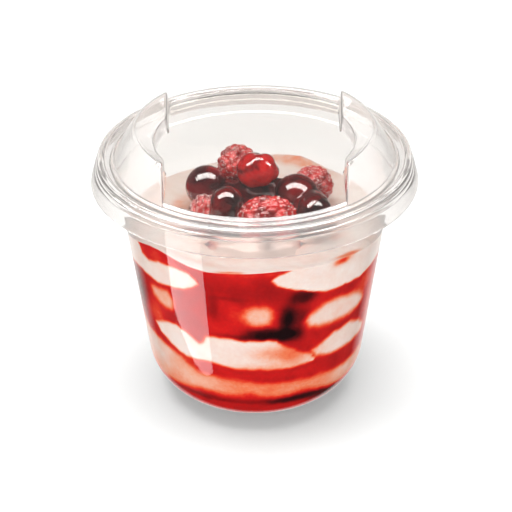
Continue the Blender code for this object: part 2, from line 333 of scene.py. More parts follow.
SHADOW_TINT = (0.97, 0.965, 0.96, 1.0)
BOUNCED_GREY = (0.33, 0.33, 0.33, 1.0)
FOOD_COLOURS = [
    (0.00, srgb(241, 228, 221)),
    (0.10, srgb(236, 206, 194)),
    (0.20, srgb(237, 172, 146)),
    (0.30, srgb(235, 122, 80)),
    (0.40, srgb(228, 62, 34)),
    (0.50, srgb(208, 20, 20)),
    (0.64, srgb(160, 14, 16)),
    (0.80, srgb(88, 8, 12)),
    (1.00, srgb(24, 5, 8)),
]
FILM_COLOURS = [
    (0.00, srgb(236, 200, 186)),
    (0.35, srgb(226, 140, 118)),
    (0.65, srgb(190, 30, 28)),
    (1.00, srgb(120, 12, 16)),
]
CHERRY_COLOURS = [(0.38, srgb(28, 5, 9)), (0.52, srgb(84, 10, 18)), (0.68, srgb(164, 22, 32))]
# Crystals: real frost on the frosted raspberries; on the front raspberry they are painted highlights, pale
# dots in place of wet glints
FROST_AND_GLINT_COLOURS = [(0.35, srgb(252, 216, 208)), (0.60, srgb(255, 246, 242))]
FROST_COLOUR = srgb(250, 214, 206)


def clear_plastic(name, tint, ripple, clear=1.0, rough=0.015, bend=1.47):
    """Thin formed plastic, a little wavy and scuffed. Lamp light and bounced light pass straight through."""
    material, tree = new_material(name)
    scuffs = add_noise(tree, 260.0, detail=4.0)
    plastic = add_principled(tree, {
        "Base Color": tint,
        "Transmission Weight": clear,
        "IOR": bend,
        "Roughness": add_range(tree, scuffs, 0.35, 0.75, rough, rough + 0.045),
        "Normal": add_bump(tree, 55.0, ripple),
    })
    path = add_node(tree, "LightPath")
    through = add_node(tree, "BsdfTransparent", {"Color": SHADOW_TINT}).outputs["BSDF"]
    inner = mix_shaders(tree, path.outputs["Is Reflection Ray"], plastic, through)
    set_surface(tree, mix_shaders(tree, path.outputs["Is Shadow Ray"], inner, through))
    return material


def food_material():
    """Cream marbled with sauce: the mesh says how much sauce there is. Light that it throws back is grey."""
    material, tree = new_material("marbled_cream")
    grain = add_uneven(tree, 900.0, -0.018, 0.018, detail=4.0)
    clouds = add_uneven(tree, 170.0, -0.03, 0.03)
    amount = add_maths(tree, "ADD", read_values(tree, "sauce"), add_maths(tree, "ADD", grain, clouds))
    food = add_principled(tree, {
        "Base Color": add_ramp(tree, amount, FOOD_COLOURS),
        "Roughness": add_range(tree, amount, 0.1, 0.5, 0.42, 0.22),
        "Specular IOR Level": 0.15,
        "Subsurface Weight": 0.12,
        "Subsurface Radius": (1.0, 0.45, 0.3),
        "Subsurface Scale": 0.002,
        "Normal": add_bump(tree, 420.0, 0.0002, detail=4.0),
    })
    grey = add_node(tree, "BsdfDiffuse", {"Color": BOUNCED_GREY}).outputs["BSDF"]
    bounced = add_node(tree, "LightPath").outputs["Is Diffuse Ray"]
    set_surface(tree, mix_shaders(tree, bounced, food, grey))
    return material


def sauce_material(name, dark, light, roughness, wet=1.0):
    """Fruit sauce, pale and matt where the mesh says it is a thin film; wet is its share of gloss."""
    material, tree = new_material(name)
    film = read_values(tree, "film")
    thin = add_ramp(tree, film, FILM_COLOURS)
    thick = add_ramp(tree, add_noise(tree, 120.0, distortion=0.6), [(0.40, dark), (0.72, light)])
    matt = add_range(tree, film, 0.2, 0.8, 0.35, 0.0)
    uneven = add_uneven(tree, 300.0, roughness, roughness + 0.06)
    set_surface(tree, add_principled(tree, {
        "Base Color": mix_colours(tree, add_range(tree, film, 0.55, 1.0, 0.0, 1.0), thin, thick),
        "Roughness": add_maths(tree, "ADD", uneven, matt),
        "IOR": 1.45,
        "Specular IOR Level": 0.5 * wet,
        "Coat Weight": add_range(tree, film, 0.4, 0.9, 0.0, wet),
        "Coat Roughness": 0.03,
        "Normal": add_bump(tree, 120.0, 0.0003),
    }))
    return material


def raspberry_material(name, stops, frost, roughness, gloss=0.0, grain=0.0003):
    """Raspberry skin: blotchy red with a fine pale frost on the drupelets' tops."""
    material, tree = new_material(name)
    specks = add_range(tree, add_noise(tree, 2000.0, roughness=0.7), 0.50, 0.62, 0.0, frost)
    patches = add_range(tree, add_noise(tree, 300.0), 0.35, 0.60, 0.25, 1.0)
    crown = add_range(tree, read_values(tree, "tip"), 0.15, 0.9, 0.12, 1.0)
    cover = add_maths(tree, "MULTIPLY", add_maths(tree, "MULTIPLY", specks, patches), crown)
    skin = add_ramp(tree, add_noise(tree, 190.0, detail=4.0), stops)
    set_surface(tree, add_principled(tree, {
        "Base Color": mix_colours(tree, cover, skin, FROST_COLOUR),
        "Roughness": add_range(tree, cover, 0.0, 0.6, roughness, roughness + 0.25),
        "Coat Weight": gloss,
        "Coat Roughness": 0.04,
        "Subsurface Weight": 0.15,
        "Subsurface Radius": (1.0, 0.25, 0.2),
        "Subsurface Scale": 0.0015,
        "Normal": add_bump(tree, 1500.0, grain, detail=4.0, roughness=0.65),
    }))
    return material


def frost_and_glint_material():
    """Pale, clouded crystals: frost on the frosted raspberries, and painted highlights on the wet front one,
    where white dots stand in for its glints.
    """
    material, tree = new_material("frost_and_painted_glints")
    clouds = add_noise(tree, 700.0, detail=2.0)
    set_surface(tree, add_principled(tree, {
        "Base Color": add_ramp(tree, clouds, FROST_AND_GLINT_COLOURS),
        "Roughness": add_range(tree, clouds, 0.3, 0.7, 0.15, 0.35),
    }))
    return material


def cherry_material():
    """Dark, very glossy skin with a redder bloom in places."""
    material, tree = new_material("dark_cherry")
    set_surface(tree, add_principled(tree, {
        "Base Color": add_ramp(tree, add_noise(tree, 85.0, detail=2.0), CHERRY_COLOURS),
        "Roughness": add_uneven(tree, 240.0, 0.05, 0.12),
        "IOR": 1.45,
        "Coat Weight": 1.0,
        "Coat Roughness": 0.02,
        "Normal": add_bump(tree, 110.0, 0.0005),
    }))
    return material


# Floor, lights and the room

FLOOR_HALF = 4000.0
FLOOR_DEPTH = 0.1
FLOOR_COLOURS = [(0.0, (0.93, 0.93, 0.93, 1.0)), (1.0, (0.95, 0.95, 0.95, 1.0))]

# Lamps: name, place, height aimed at, size, radiance, and the kinds of ray that don't see the lamp

LAMPS = [
    ("overhead", (-0.10, 0.0, 1.5), 0.08, (0.7, 1.4), 6.0, ("glossy", "transmission")),
    ("overhead_gloss", (-0.16, 0.0, 1.5), 0.08, (0.8, 3.0), 15.0, ("diffuse", "transmission")),
    ("top_fill", (0.0, 0.3, 2.2), 0.05, (3.0, 3.0), 0.55, ("glossy", "transmission")),
    ("front_fill", (-0.4, -1.4, 0.75), 0.05, (1.4, 0.9), 1.0, ("glossy", "transmission")),
    ("low_fill", (0.0, -1.3, 0.16), 0.05, (2.2, 0.4), 1.9, ("glossy", "transmission")),
    ("side_strip", (-0.439, -0.175, -0.329), 0.05, (0.31, 0.16), 4.5, ("diffuse",)),
]
STRIP_TURN = math.radians(-13.3)

# The room: height from 0 straight below to 1 straight above, then red, green and blue

LIGHTING = [
    (0.00, 0.50, 0.50, 0.50), (0.50, 1.00, 1.00, 1.00), (0.58, 0.90, 0.90, 0.89), (0.70, 0.20, 0.195, 0.19),
    (1.00, 0.15, 0.15, 0.15),
]
BACKDROP = [
    (0.00, 0.80, 0.78, 0.76), (0.50, 1.00, 1.00, 1.00), (0.60, 0.97, 0.96, 0.95), (0.80, 0.86, 0.84, 0.82),
    (1.00, 0.80, 0.78, 0.76),
]
REFLECTIONS = [
    (0.00, 0.04, 0.035, 0.033), (0.40, 0.10, 0.09, 0.085), (0.50, 0.70, 0.68, 0.66),
    (0.62, 0.80, 0.78, 0.76), (1.00, 1.00, 0.98, 0.96),
]
SCREENS = [
    (0.00, 0.035, 0.03, 0.028), (0.46, 0.06, 0.05, 0.045), (0.52, 0.30, 0.29, 0.28),
    (0.60, 0.16, 0.155, 0.15), (0.80, 0.06, 0.06, 0.06), (1.00, 0.05, 0.05, 0.05),
]

# Round patches in the room: direction, angles in degrees where the edge starts and ends

BEHIND_BELOW = ((0.0, 0.86, -0.50), 22.0, 40.0)
BEHIND_ABOVE = ((0.0, 0.864, 0.504), 14.0, 24.0)


def set_stage():
    material, tree = new_material("studio_floor")
    set_surface(tree, add_principled(tree, {
        "Base Color": add_ramp(tree, add_noise(tree, 30.0, detail=2.0), FLOOR_COLOURS),
        "Roughness": 0.6,
        "Specular IOR Level": 0.1,
        "Emission Color": (1.0, 1.0, 1.0, 1.0),
        "Emission Strength": 0.13,
    }))
    sides = ((-1, -1), (1, -1), (1, 1), (-1, 1))
    corners = [(across * FLOOR_HALF, along * FLOOR_HALF, 0.0) for across, along in sides]
    floor = add_object("floor", corners, [(0, 1, 2, 3)], material, smooth=False)
    floor.location.z = -FLOOR_DEPTH * MM
    floor.visible_glossy = False


def add_softbox(name, place, aim, width, height, radiance):
    """A one-sided rectangular lamp of a given radiance."""
    data = bpy.data.lights.new(name, "AREA")
    data.shape = "RECTANGLE"
    data.size = width
    data.size_y = height
    data.energy = radiance * math.pi * width * height
    lamp = link_object(name, data)
    lamp.location = place
    direction = Vector((0.0, 0.0, aim)) - Vector(place)
    lamp.rotation_euler = direction.to_track_quat("-Z", "Y").to_euler()
    lamp.visible_camera = False
    return lamp


def add_background(tree, colour):
    return add_node(tree, "Background", {"Color": colour}).outputs["Background"]


def add_sky(tree, stops):
    """A background whose colour depends on the height that a ray goes to."""
    direction = add_node(tree, "TexCoord").outputs["Generated"]
    height = add_node(tree, "SeparateXYZ", {"Vector": direction}).outputs["Z"]
    level = add_range(tree, height, -1.0, 1.0, 0.0, 1.0)
    return add_background(tree, add_ramp(tree, level, [(place, (*colour, 1.0)) for place, *colour in stops]))


def add_patch(tree, sky, patch, colour):
    """The sky with a round patch of one colour, its edge soft."""
    towards, inner, outer = patch
    direction = add_node(tree, "TexCoord").outputs["Generated"]
    near = add_node(tree, "VectorMath", {0: direction, 1: towards}, operation="DOT_PRODUCT").outputs["Value"]
    low, high = math.cos(math.radians(outer)), math.cos(math.radians(inner))
    share = add_range(tree, near, low, high, 0.0, 1.0)
    return mix_shaders(tree, share, sky, add_background(tree, (*colour, 1.0)))


def set_world():
    """A pale room. What is mirrored under the lid meets dark screens in place of most of it."""
    world = bpy.data.worlds.new("studio")
    bpy.context.scene.world = world
    world.use_nodes = True
    tree = world.node_tree
    tree.nodes.clear()
    lighting = add_sky(tree, LIGHTING)
    backdrop = add_sky(tree, BACKDROP)
    reflections = add_patch(tree, add_sky(tree, REFLECTIONS), BEHIND_BELOW, (0.90, 0.88, 0.86))
    reflections = add_patch(tree, reflections, BEHIND_ABOVE, (0.05, 0.048, 0.046))
    screens = add_patch(tree, add_sky(tree, SCREENS), BEHIND_BELOW, (0.70, 0.68, 0.66))
    path = add_node(tree, "LightPath").outputs
    under_lid = add_maths(tree, "GREATER_THAN", path["Transmission Depth"], 1.5)
    mirrored = add_maths(tree, "SUBTRACT", path["Is Glossy Ray"], path["Is Transmission Ray"])
    straight = mix_shaders(tree, path["Is Diffuse Ray"], backdrop, lighting)
    shining = mix_shaders(tree, under_lid, reflections, screens)
    add_node(tree, "OutputWorld", {"Surface": mix_shaders(tree, mirrored, straight, shining)})
    world.cycles.sampling_method = "NONE"


def set_lights():
    """Overhead, one lamp lights and one shows in wet fruit. Fills don't show. The strip shows in the wall."""
    set_world()
    for name, place, aim, (width, height), radiance, unseen in LAMPS:
        lamp = add_softbox(name, place, aim, width, height, radiance)
        lamp.visible_diffuse = "diffuse" not in unseen
        lamp.visible_glossy = "glossy" not in unseen
        lamp.visible_transmission = "transmission" not in unseen
    lamp.rotation_euler.rotate_axis("Z", STRIP_TURN)


# Cup: steps round it, and the longest run of its outline that counts in full for the shading

CUP_SEGMENTS = 240
RUN_MOST = 2.0


def wall_radius(height):
    """Outer radius of the cup below its shoulder."""
    if height >= WALL_START:
        return WALL_START_RADIUS + (height - WALL_START) * math.tan(WALL_TAPER)
    below = CORNER_RADIUS - height
    return BASE_RADIUS + math.sqrt(max(CORNER_RADIUS**2 - below**2, 0.0))


def corner_arc(inset, steps=20):
    """Outline of the round corner at the base, drawn in by an inset."""
    radius = CORNER_RADIUS - inset
    arc = []
    for step in range(steps + 1):
        turn = (math.pi / 2 - WALL_TAPER) * step / steps
        arc.append((BASE_RADIUS + radius * math.sin(turn), CORNER_RADIUS - radius * math.cos(turn)))
    return arc


def make_cup(material):
    outline = [(0.0, 0.0)] + corner_arc(0.0)
    outline += fillet([
        (wall_radius(60.0), 60.0), (wall_radius(85.4), 85.4),
        (50.0, 86.0), (50.5, 90.2), (51.0, 90.6), (51.2, 91.8), (51.6, 92.1), (54.3, 92.1), (54.5, 90.9),
        (55.0, 91.0), (54.9, 92.4), (54.6, 92.7), (51.2, 92.7), (50.6, 92.1), (49.9, 90.7), (49.4, 86.3),
        (wall_radius(85.7) - CUP_THICKNESS, 85.7), (wall_radius(60.0) - CUP_THICKNESS, 60.0),
    ], 0.3, steps=3)
    outline += list(reversed(corner_arc(CUP_THICKNESS))) + [(0.0, CUP_THICKNESS)]
    cup = lathe("clear_cup", outline, CUP_SEGMENTS, material)
    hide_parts("cup")
    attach(cup, "root")


# Lid: one sheet with ring, skirt, plate and two raised crescents, then given its thickness

SKIRT = [
    (CRESCENT_FOOT, GROOVE_RISE), (50.3, 0.2), (51, -0.4), (52.8, -0.4), (53.4, 0.3), (54.3, 0.6),
    (55.3, 0.3), (56, -0.1), (56.2, -1.7), (56.6, -2.1), (56.75, -3.3), (57.1, -3.7), (57.5, -5.3),
    (58.05, -7.2), (58.45, -8.8), (58.45, -9.1),
]
CRESCENT_END_ROUND = 0.8
EDGE_STRIP = 0.3
CHANNEL_INNER = 48.4
CRESCENT_STEPS = 100
CHANNEL_STEPS = 70
END_STEPS = 4
OUTLINE_STEP = 1.2
FLAT_WITHIN = 0.05
SHARP_ANGLE = math.radians(40.0)


def channel_edge(rise):
    """Half width of the channel between the crescents at a height above the ring."""
    return CHANNEL_HALF - (CREST_RISE - rise) * math.tan(CRESCENT_DRAFT)


def crescent_outline():
    """From the foot over the crest and the lip down to the plate, each with its inward normal."""
    outline = fillet([
        (CRESCENT_FOOT, GROOVE_RISE),
        (46.6, 5.7),
        (CREST_RADIUS + 1.2, CREST_RISE - 0.9),
        (CREST_RADIUS, CREST_RISE),
        (CREST_RADIUS - 1.3, CREST_RISE - 0.7),
        (LIP_RADIUS + 0.2, LIP_RISE + 0.1),
        (LIP_RADIUS - 0.8, LIP_RISE - 0.3),
        (LIP_RADIUS - 1.3, LIP_RISE - 1.2),
        (LIP_RADIUS - 1.5, PLATE_RISE),
        (LIP_RADIUS - 2.6, PLATE_RISE),
    ], 0.9, steps=4)
    dense = [outline[0]]
    for before, after in zip(outline, outline[1:]):
        gap = math.dist(before, after)
        pieces = max(1, round(gap / OUTLINE_STEP))
        for piece in range(1, pieces + 1):
            share = piece / pieces
            dense.append(tuple(a + (b - a) * share for a, b in zip(before, after)))
    points = np.array(dense)
    runs = np.gradient(points, axis=0)
    inward = np.stack((-runs[:, 1], runs[:, 0]), axis=1)
    inward /= np.linalg.norm(inward, axis=1)[:, None]
    return points, inward


def crescent_rows():
    """Rows from end to end of a crescent: (share of its half angle, turn of the end's rounding)."""
    ends = [math.pi / 2 * step / END_STEPS for step in range(END_STEPS, 0, -1)]
    rows = [(-1.0, turn) for turn in ends]
    rows += [(2.0 * step / CRESCENT_STEPS - 1.0, 0.0) for step in range(CRESCENT_STEPS + 1)]
    rows += [(1.0, turn) for turn in reversed(ends)]
    return rows


def crescent_row(points, inward, share, turn):
    """One row of points across a crescent: (angle from +X, radius, rise)."""
    drawn_in = CRESCENT_END_ROUND * (1.0 - math.cos(turn))
    set_back = CRESCENT_END_ROUND * (1.0 - math.sin(turn))
    row = []
    last = len(points) - 1
    for number, ((radius, rise), (across, up)) in enumerate(zip(points, inward)):
        hold = min(1.0, max(0.0, (rise - GROOVE_RISE) / 3.0)) if radius > CREST_RADIUS else 1.0
        new_radius = radius + across * drawn_in * hold
        new_rise = rise + up * drawn_in * hold
        if number >= last - 1 or rise <= PLATE_RISE + 1e-6 and radius < CREST_RADIUS:
            new_radius = radius + drawn_in
            new_rise = PLATE_RISE
        edge = channel_edge(new_rise) + set_back
        row.append((share * math.acos(min(1.0, edge / new_radius)), new_radius, new_rise))
    return row


def fill_plate(sheet, loop):
    """The flat plate inside a loop that is the same on both sides of the channel, as strips across it."""
    rows = len(crescent_rows())
    middle = CHANNEL_STEPS // 2
    right, back = loop[:rows], loop[rows:rows + CHANNEL_STEPS + 1]
    left, front = loop[rows + CHANNEL_STEPS + 1:-CHANNEL_STEPS - 1], loop[-CHANNEL_STEPS - 1:]
    right_side = front[middle:] + right + back[:middle + 1]
    left_side = front[middle::-1] + left[::-1] + back[:middle - 1:-1]
    last = len(right_side) - 2
    strips = []
    for number in range(last + 1):
        a, b = right_side[number], right_side[number + 1]
        c, d = left_side[number + 1], left_side[number]
        corners = (a, b, c) if number == 0 else (a, b, d) if number == last else (a, b, c, d)
        strips.append(sheet.faces.new(corners))
    return strips


def make_lid(plate_material, rim_material):
    sheet = bmesh.new()

    def point(angle, radius, rise):
        place = (radius * math.cos(angle), radius * math.sin(angle), RING_HEIGHT + rise)
        return sheet.verts.new(Vector(place) * MM)

    def bridge(first, second):
        for a, b, c, d in zip(first, first[1:], second[1:], second):
            sheet.faces.new((a, b, c, d))

    points, inward = crescent_outline()
    rows = crescent_rows()
    channel = fillet([
        (CRESCENT_FOOT, GROOVE_RISE),
        (49.4, GROOVE_RISE),
        (CHANNEL_INNER, PLATE_RISE),
        (47.0, PLATE_RISE),
    ], 0.5, steps=4)
    foot_angles = []
    plate_loop = []
    end_faces = []
    for side in (0.0, math.pi):
        grid = []
        for share, turn in rows:
            row = crescent_row(points, inward, share, turn)
            grid.append([point(angle + side, radius, rise) for angle, radius, rise in row])
            foot_angles.append(row[0][0] + side)
        for before, after in zip(grid, grid[1:]):
            bridge(before, after)
        plate_loop += [row[-1] for row in grid]
        strips = []
        for radius, rise in channel:
            reach = math.acos(channel_edge(rise) / radius)
            span = math.pi - 2 * reach
            angles = [side + reach + span * step / CHANNEL_STEPS for step in range(CHANNEL_STEPS + 1)]
            strips.append([point(angle, radius, rise) for angle in angles])
            if len(strips) == 1:
                foot_angles += angles[1:-1]
        for before, after in zip(strips, strips[1:]):
            bridge(before, after)
        plate_loop += strips[-1]
        near = sheet.faces.new([strip[0] for strip in reversed(strips)][:-1] + grid[-1])
        opposite = side + math.pi
        other_end = crescent_row(points, inward, -1.0, math.pi / 2)
        end = [point(angle + opposite, radius, rise) for angle, radius, rise in other_end]
        far = sheet.faces.new([strip[-1] for strip in reversed(strips)][:-1] + end)
        end_faces += [near, far]
    plate = fill_plate(sheet, plate_loop)
    skirt = fillet(SKIRT, 0.4, steps=3)
    foot_angles.sort()
    rings = [[point(angle, radius, rise) for angle in foot_angles] for radius, rise in skirt]
    for before, after in zip(rings, rings[1:]):
        bridge(before + before[:1], after + after[:1])
    bmesh.ops.remove_doubles(sheet, verts=sheet.verts, dist=1e-6)
    width = EDGE_STRIP * MM
    bmesh.ops.inset_individual(sheet, faces=[face for face in end_faces if face.is_valid], thickness=width)
    bmesh.ops.inset_region(sheet, faces=[face for face in plate if face.is_valid], thickness=width)
    bmesh.ops.recalc_face_normals(sheet, faces=sheet.faces)
    if sum(face.normal.z * face.calc_area() for face in sheet.faces) < 0:
        bmesh.ops.reverse_faces(sheet, faces=sheet.faces)
    for face in sheet.faces:
        middle = face.calc_center_median() / MM
        flat = abs(middle.z - RING_HEIGHT - PLATE_RISE) < FLAT_WITHIN
        face.material_index = 0 if flat and math.hypot(middle.x, middle.y) < CHANNEL_INNER else 1
    level = {face for face in plate if face.is_valid}
    for edge in sheet.edges:
        rim_of_plate = len(level.intersection(edge.link_faces)) == 1
        edge.smooth = not rim_of_plate and edge.calc_face_angle(0.0) < SHARP_ANGLE
    mesh = bpy.data.meshes.new("clear_lid")
    sheet.to_mesh(mesh)
    sheet.free()
    mesh.materials.append(plate_material)
    mesh.materials.append(rim_material)
    mesh.shade_smooth()
    lid = link_object("clear_lid", mesh)
    thickness = lid.modifiers.new("thickness", "SOLIDIFY")
    thickness.thickness = LID_THICKNESS * MM
    thickness.offset = -1.0
    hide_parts("lid")
    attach(lid, "root")


# Food: its mesh, with the top's rings as shares of the rim, and azimuth and height of the fill line

FOOD_INSET = 0.35
FOOD_COLUMNS = 520
BASE_RINGS = 10
WALL_RINGS = 110
WALL_MIDDLE = 46.0
TOP_SHARES = np.concatenate((np.linspace(0.995, 0.56, 34), np.linspace(0.5, 0.06, 8)))
FILL_LINE = [
    (-180, 68), (-150, 66.6), (-120, 67.4), (-95, 68), (-76, 68.2), (-66, 70.2), (-58, 72.3), (-51, 73.8),
    (-44.7, 74.2), (-40, 73.6), (-30, 71.8), (-21, 71.1), (-10.7, 71.7), (0, 72.2), (10, 72.7),
    (20, 72.2), (30, 71.8), (39, 71.8), (52, 70.6), (68, 68.6), (90, 67.4), (120, 67), (144, 67.6),
    (158, 70), (170, 69.4), (180, 68),
]

# Bodies of cream: outline in azimuth and height, tint, soft run inwards and outwards

CREAM_BODIES = {
    "tongue_left": ([
        (-96, 60), (-90, 67), (-80, 70), (-70, 72), (-62, 72.5), (-59.5, 70.5), (-59, 67.5),
        (-53.5, 66.5), (-46, 68.5), (-40, 69), (-34, 69), (-29, 68.5), (-26.5, 66.5), (-25.5, 64.5),
        (-28, 63), (-33, 61), (-38.5, 60), (-45, 59.5), (-50.5, 58.5), (-56, 59), (-62.5, 59.5),
        (-72, 58.5), (-86, 56),
    ], 0.05, 0.9, 0.9),
    "lobe_right": ([
        (7.5, 68.5), (10, 66.5), (13, 65.5), (16, 64), (20, 63), (27.5, 61), (32.5, 60), (38, 59.6),
        (44.5, 59.5), (51.5, 59), (59, 59), (65.5, 59.5), (74, 60), (88, 60), (104, 64), (104, 76),
        (84, 78), (60, 78), (33, 78), (19, 74), (15.5, 72.5), (13, 71.3), (10, 70.3),
    ], 0.03, 0.5, 1.0),
    "oval": ([
        (-5, 53), (-3.5, 55.5), (0, 57), (3.8, 56.8), (6.2, 55), (6.6, 52.5), (5, 50.2), (0.5, 49.2),
        (-3.4, 50.4),
    ], 0.19, 2.0, 3.0),
    "lobe_middle": ([
        (24, 48.5), (25.5, 50.5), (28.5, 51.7), (33, 53.5), (39, 54), (45.5, 53.5), (53, 51.7),
        (59.5, 49), (61, 46.8), (57, 45), (51, 44.8), (43, 44.8), (37, 44.8), (31, 45), (26, 46.2),
    ], 0.09, 1.8, 3.2),
    "tongue_low": ([
        (28.5, 34), (32.5, 35.5), (36.5, 37), (40.5, 38.5), (46, 39), (52, 39.3), (61, 37), (67.5, 33.2),
        (67, 30.5), (59, 30), (52.5, 30), (44.5, 30), (37.5, 30.5), (31, 31.5),
    ], 0.07, 1.2, 2.2),
    "band_middle": ([
        (-57, 38.3), (-47, 42), (-41, 42.4), (-36, 41.4), (-32, 39.5), (-28, 37.6), (-25.5, 38.8),
        (-23.8, 41.6), (-19.5, 42.2), (-12, 42.2), (-2.5, 41.6), (4.5, 41.8), (9.5, 41.2), (13.5, 38.8),
        (22.5, 35.4), (28.5, 32.2), (27, 29.8), (17.5, 28.8), (7.5, 29.2), (-2.5, 29.4), (-10, 29.4),
        (-14.5, 30), (-22, 30.8), (-28.5, 30.8), (-37.5, 30.2), (-41, 31), (-45, 32.5), (-49, 34),
        (-53.5, 35.6),
    ], 0.05, 0.9, 1.5),
    "band_low": ([
        (-104, 34), (-88, 38), (-76, 36), (-66, 32.6), (-57, 31.6), (-48.5, 30.4), (-41.5, 29),
        (-37, 27.2), (-32, 25.4), (-26.5, 24.6), (-21, 24.8), (-13, 24), (-2.5, 23.4), (5, 22.6),
        (13, 22.8), (24, 22.2), (36, 22), (46.5, 21.4), (55.5, 21.4), (64, 22), (80, 23), (98, 22),
        (96, 16), (78, 15), (68, 14.6), (60, 13.4), (51, 12.2), (37.5, 14.2), (27.5, 16.4), (21.5, 16.4),
        (13.5, 15.2), (5, 15.6), (0.5, 16.6), (-3, 17.5), (-8, 16.2), (-16.5, 16), (-25, 16), (-31, 16),
        (-37.5, 15.4), (-45.5, 14.4), (-55, 13.6), (-64, 14), (-76, 16), (-92, 18),
    ], 0.27, 2.4, 1.8),
    "streak_left": ([
        (-55.5, 55), (-49, 56.4), (-44, 57), (-41.5, 54), (-42, 49.5), (-46.5, 48.8), (-51.5, 50.5),
        (-55, 52),
    ], 0.20, 1.6, 2.4),
    "small_patch": ([
        (22.5, 31.6), (26, 32.2), (30.5, 30.6), (29.5, 29.4), (25, 30),
    ], 0.08, 0.4, 0.6),
    "back_lobe_high": ([
        (122, 60), (134, 64), (150, 64), (168, 61), (186, 62), (204, 65), (214, 62), (206, 57), (188, 54),
        (166, 55), (146, 57), (130, 56),
    ], 0.05, 1.0, 1.3),
    "back_lobe_middle": ([
        (108, 48), (120, 51), (138, 50), (150, 47), (146, 43), (130, 42), (114, 43),
    ], 0.06, 1.3, 1.8),
    "back_lobe_left": ([
        (198, 50), (212, 54), (232, 53), (246, 50), (240, 46), (224, 44), (206, 45),
    ], 0.07, 1.3, 1.8),
    "back_band": ([
        (118, 34), (136, 38), (156, 40), (176, 37), (198, 38), (220, 41), (240, 39), (262, 36), (256, 30),
        (236, 31), (214, 31), (190, 29), (168, 31), (146, 30), (126, 29),
    ], 0.05, 0.9, 1.1),
    "back_band_low": ([
        (104, 22), (124, 24), (150, 22), (176, 24), (206, 23), (234, 25), (258, 24), (252, 17), (226, 15),
        (196, 16), (164, 14.5), (134, 16), (112, 15.6),
    ], 0.18, 1.6, 1.3),
}

# Patches of thinner or thicker sauce: azimuth, height, half width, half height, change

SAUCE_SHADES = {
    "wedge": (-48, 70, 17, 4, -0.10),
    "under_fill": (0, 71.4, 24, 1.3, -0.09),
    "dark_centre": (-2, 63.5, 19, 3.6, 0.06),
    "streak_dark": (-13, 60.4, 8, 1, 0.10),
    "edge_dark": (-19.5, 57, 2.6, 6, 0.12),
    "bright_left": (-16, 47, 9, 3.6, -0.08),
    "bright_oval": (-9, 53.5, 5, 4.5, -0.08),
    "low_dark": (-8, 43.6, 9, 1.3, 0.16),
    "black_middle": (4, 45, 9, 2.7, 0.50),
    "black_low_right": (15.5, 43.6, 6.5, 2.6, 0.42),
    "black_right": (14, 51, 3.6, 6, 0.42),
    "black_upper": (21.5, 60, 6.5, 3, 0.34),
    "maroon": (20, 50.5, 5.5, 6.5, 0.20),
    "brown_left": (-70, 50, 8, 10, 0.22),
    "orange_left": (-56, 43, 8, 5, -0.15),
    "right_upper": (46, 57, 22, 1.6, 0.02),
    "right_middle": (46, 42.2, 22, 1.8, 0.03),
    "right_edge": (76, 42, 9, 14, -0.17),
    "right_rim": (62, 54, 8, 4.5, -0.18),
    "band_left": (-36, 28, 14, 2, -0.08),
    "band_red": (8, 26, 22, 1.6, -0.05),
    "band_right": (44, 27, 16, 2.2, 0.02),
    "bottom_black": (22, 13.4, 17, 1.7, 0.42),
    "bottom_brown": (42, 11.4, 14, 2, 0.26),
    "bottom_dark": (-38, 13.4, 18, 1.2, 0.14),
    "bottom_middle": (-10, 13.6, 14, 1.2, 0.12),
    "bottom_edge": (0, 5, 200, 3.6, -0.08),
    "back_black": (170, 46, 16, 4, 0.34),
    "back_bright": (214, 58, 16, 4, -0.08),
    "back_dark": (250, 58, 14, 4, 0.20),
}

# Clouds of more or less sauce in the cream: azimuth, height, half width, half height, change

CREAM_CLOUDS = {
    "orange_middle": (18, 35, 13, 5, 0.27),
    "orange_below": (2, 29.8, 16, 1.6, 0.12),
    "peach_front": (2, 36.5, 10, 3, 0.09),
    "smear_right": (40.6, 70.8, 4.5, 1.7, 0.44),
    "low_left": (-62, 26, 20, 8, -0.16),
    "low_left_inner": (-30, 20, 12, 4, -0.06),
    "low_right": (56, 18, 12, 4, -0.12),
    "low_front_deep": (4, 20, 16, 3, 0.03),
}

# Sauce between the bodies of cream, its least, and the most sauce in cream

SAUCE_DEPTH = 0.56
SAUCE_LEAST = 0.42
CREAM_MOST = 0.5

# Stains on the top: azimuth, share of the way to the rim, half width, half share, change

TOP_SPOTS = [
    (-11, 0.985, 6, 0.03, 0.26),
    (45, 0.97, 8, 0.04, 0.28),
    (158, 0.94, 17, 0.09, 0.19),
    (-104, 0.62, 16, 0.08, 0.13),
    (70, 0.66, 14, 0.10, 0.14),
    (-30, 0.85, 14, 0.05, 0.06),
]


def smooth_step(low, high, value):
    share = np.clip((value - low) / (high - low), 0.0, 1.0)
    return share * share * (3.0 - 2.0 * share)


def turned(azimuth, centre):
    """Azimuth from a centre, in degrees, wrapped to half a turn either way."""
    return (azimuth - centre + 180.0) % 360.0 - 180.0


def distance_inside(outline, azimuth, height, scale):
    """Signed distance in millimetres from points on the wall to an outline, positive inside."""
    middle = sum(corner[0] for corner in outline) / len(outline)
    across = turned(azimuth, middle) * scale
    corners = np.array([((corner[0] - middle) * scale, corner[1]) for corner in outline], float)
    nearest = np.full(azimuth.shape, 1e9)
    inside = np.zeros(azimuth.shape, bool)
    for (ax, ay), (bx, by) in zip(corners, np.roll(corners, -1, axis=0)):
        along = np.array((bx - ax, by - ay))
        share = ((across - ax) * along[0] + (height - ay) * along[1]) / max(along @ along, 1e-9)
        share = np.clip(share, 0.0, 1.0)
        gap = np.hypot(across - ax - share * along[0], height - ay - share * along[1])
        nearest = np.minimum(nearest, gap)
        crosses = (ay > height) != (by > height)
        with np.errstate(divide="ignore", invalid="ignore"):
            meets = ax + (height - ay) * (bx - ax) / (by - ay)
        inside ^= crosses & (across < meets)
    return np.where(inside, nearest, -nearest)


